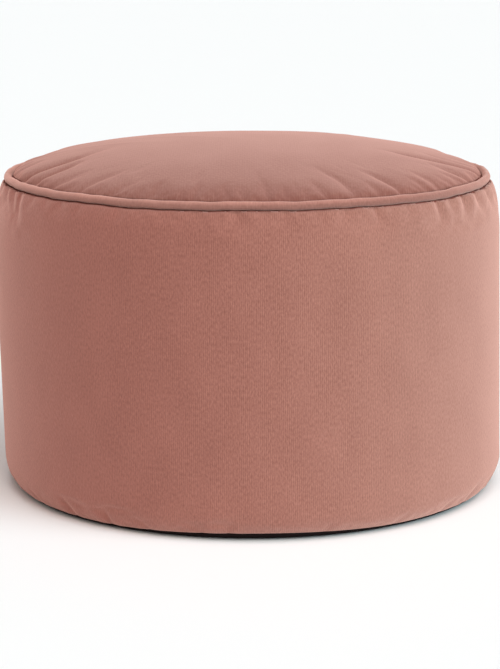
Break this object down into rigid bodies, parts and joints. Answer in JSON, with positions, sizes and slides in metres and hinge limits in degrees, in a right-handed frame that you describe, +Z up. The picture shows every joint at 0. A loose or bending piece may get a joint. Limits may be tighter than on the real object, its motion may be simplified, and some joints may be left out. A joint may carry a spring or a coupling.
{
  "type": "velvet pouf",
  "caption": "Round filled velvet pouf with a domed top panel, a piped top seam, a tall side band and a dark base panel.",
  "frame": {"origin": "middle of the underside, on the surface that the pouf stands on", "axes": "+Z up; -Y is the side that the picture shows, with +X to its right"},
  "size_m": [0.51, 0.505, 0.3455],
  "materials": {
    "velvet": "dusty rose short-pile velvet with a soft sheen",
    "piping_velvet": "the same velvet pulled tight over a cord",
    "base_cloth": "matt near-black base cloth"
  },
  "bodies": {
    "root": {"velvet_body": "velvet", "top_piping": "piping_velvet", "base_panel": "base_cloth"}
  },
  "joints": []
}
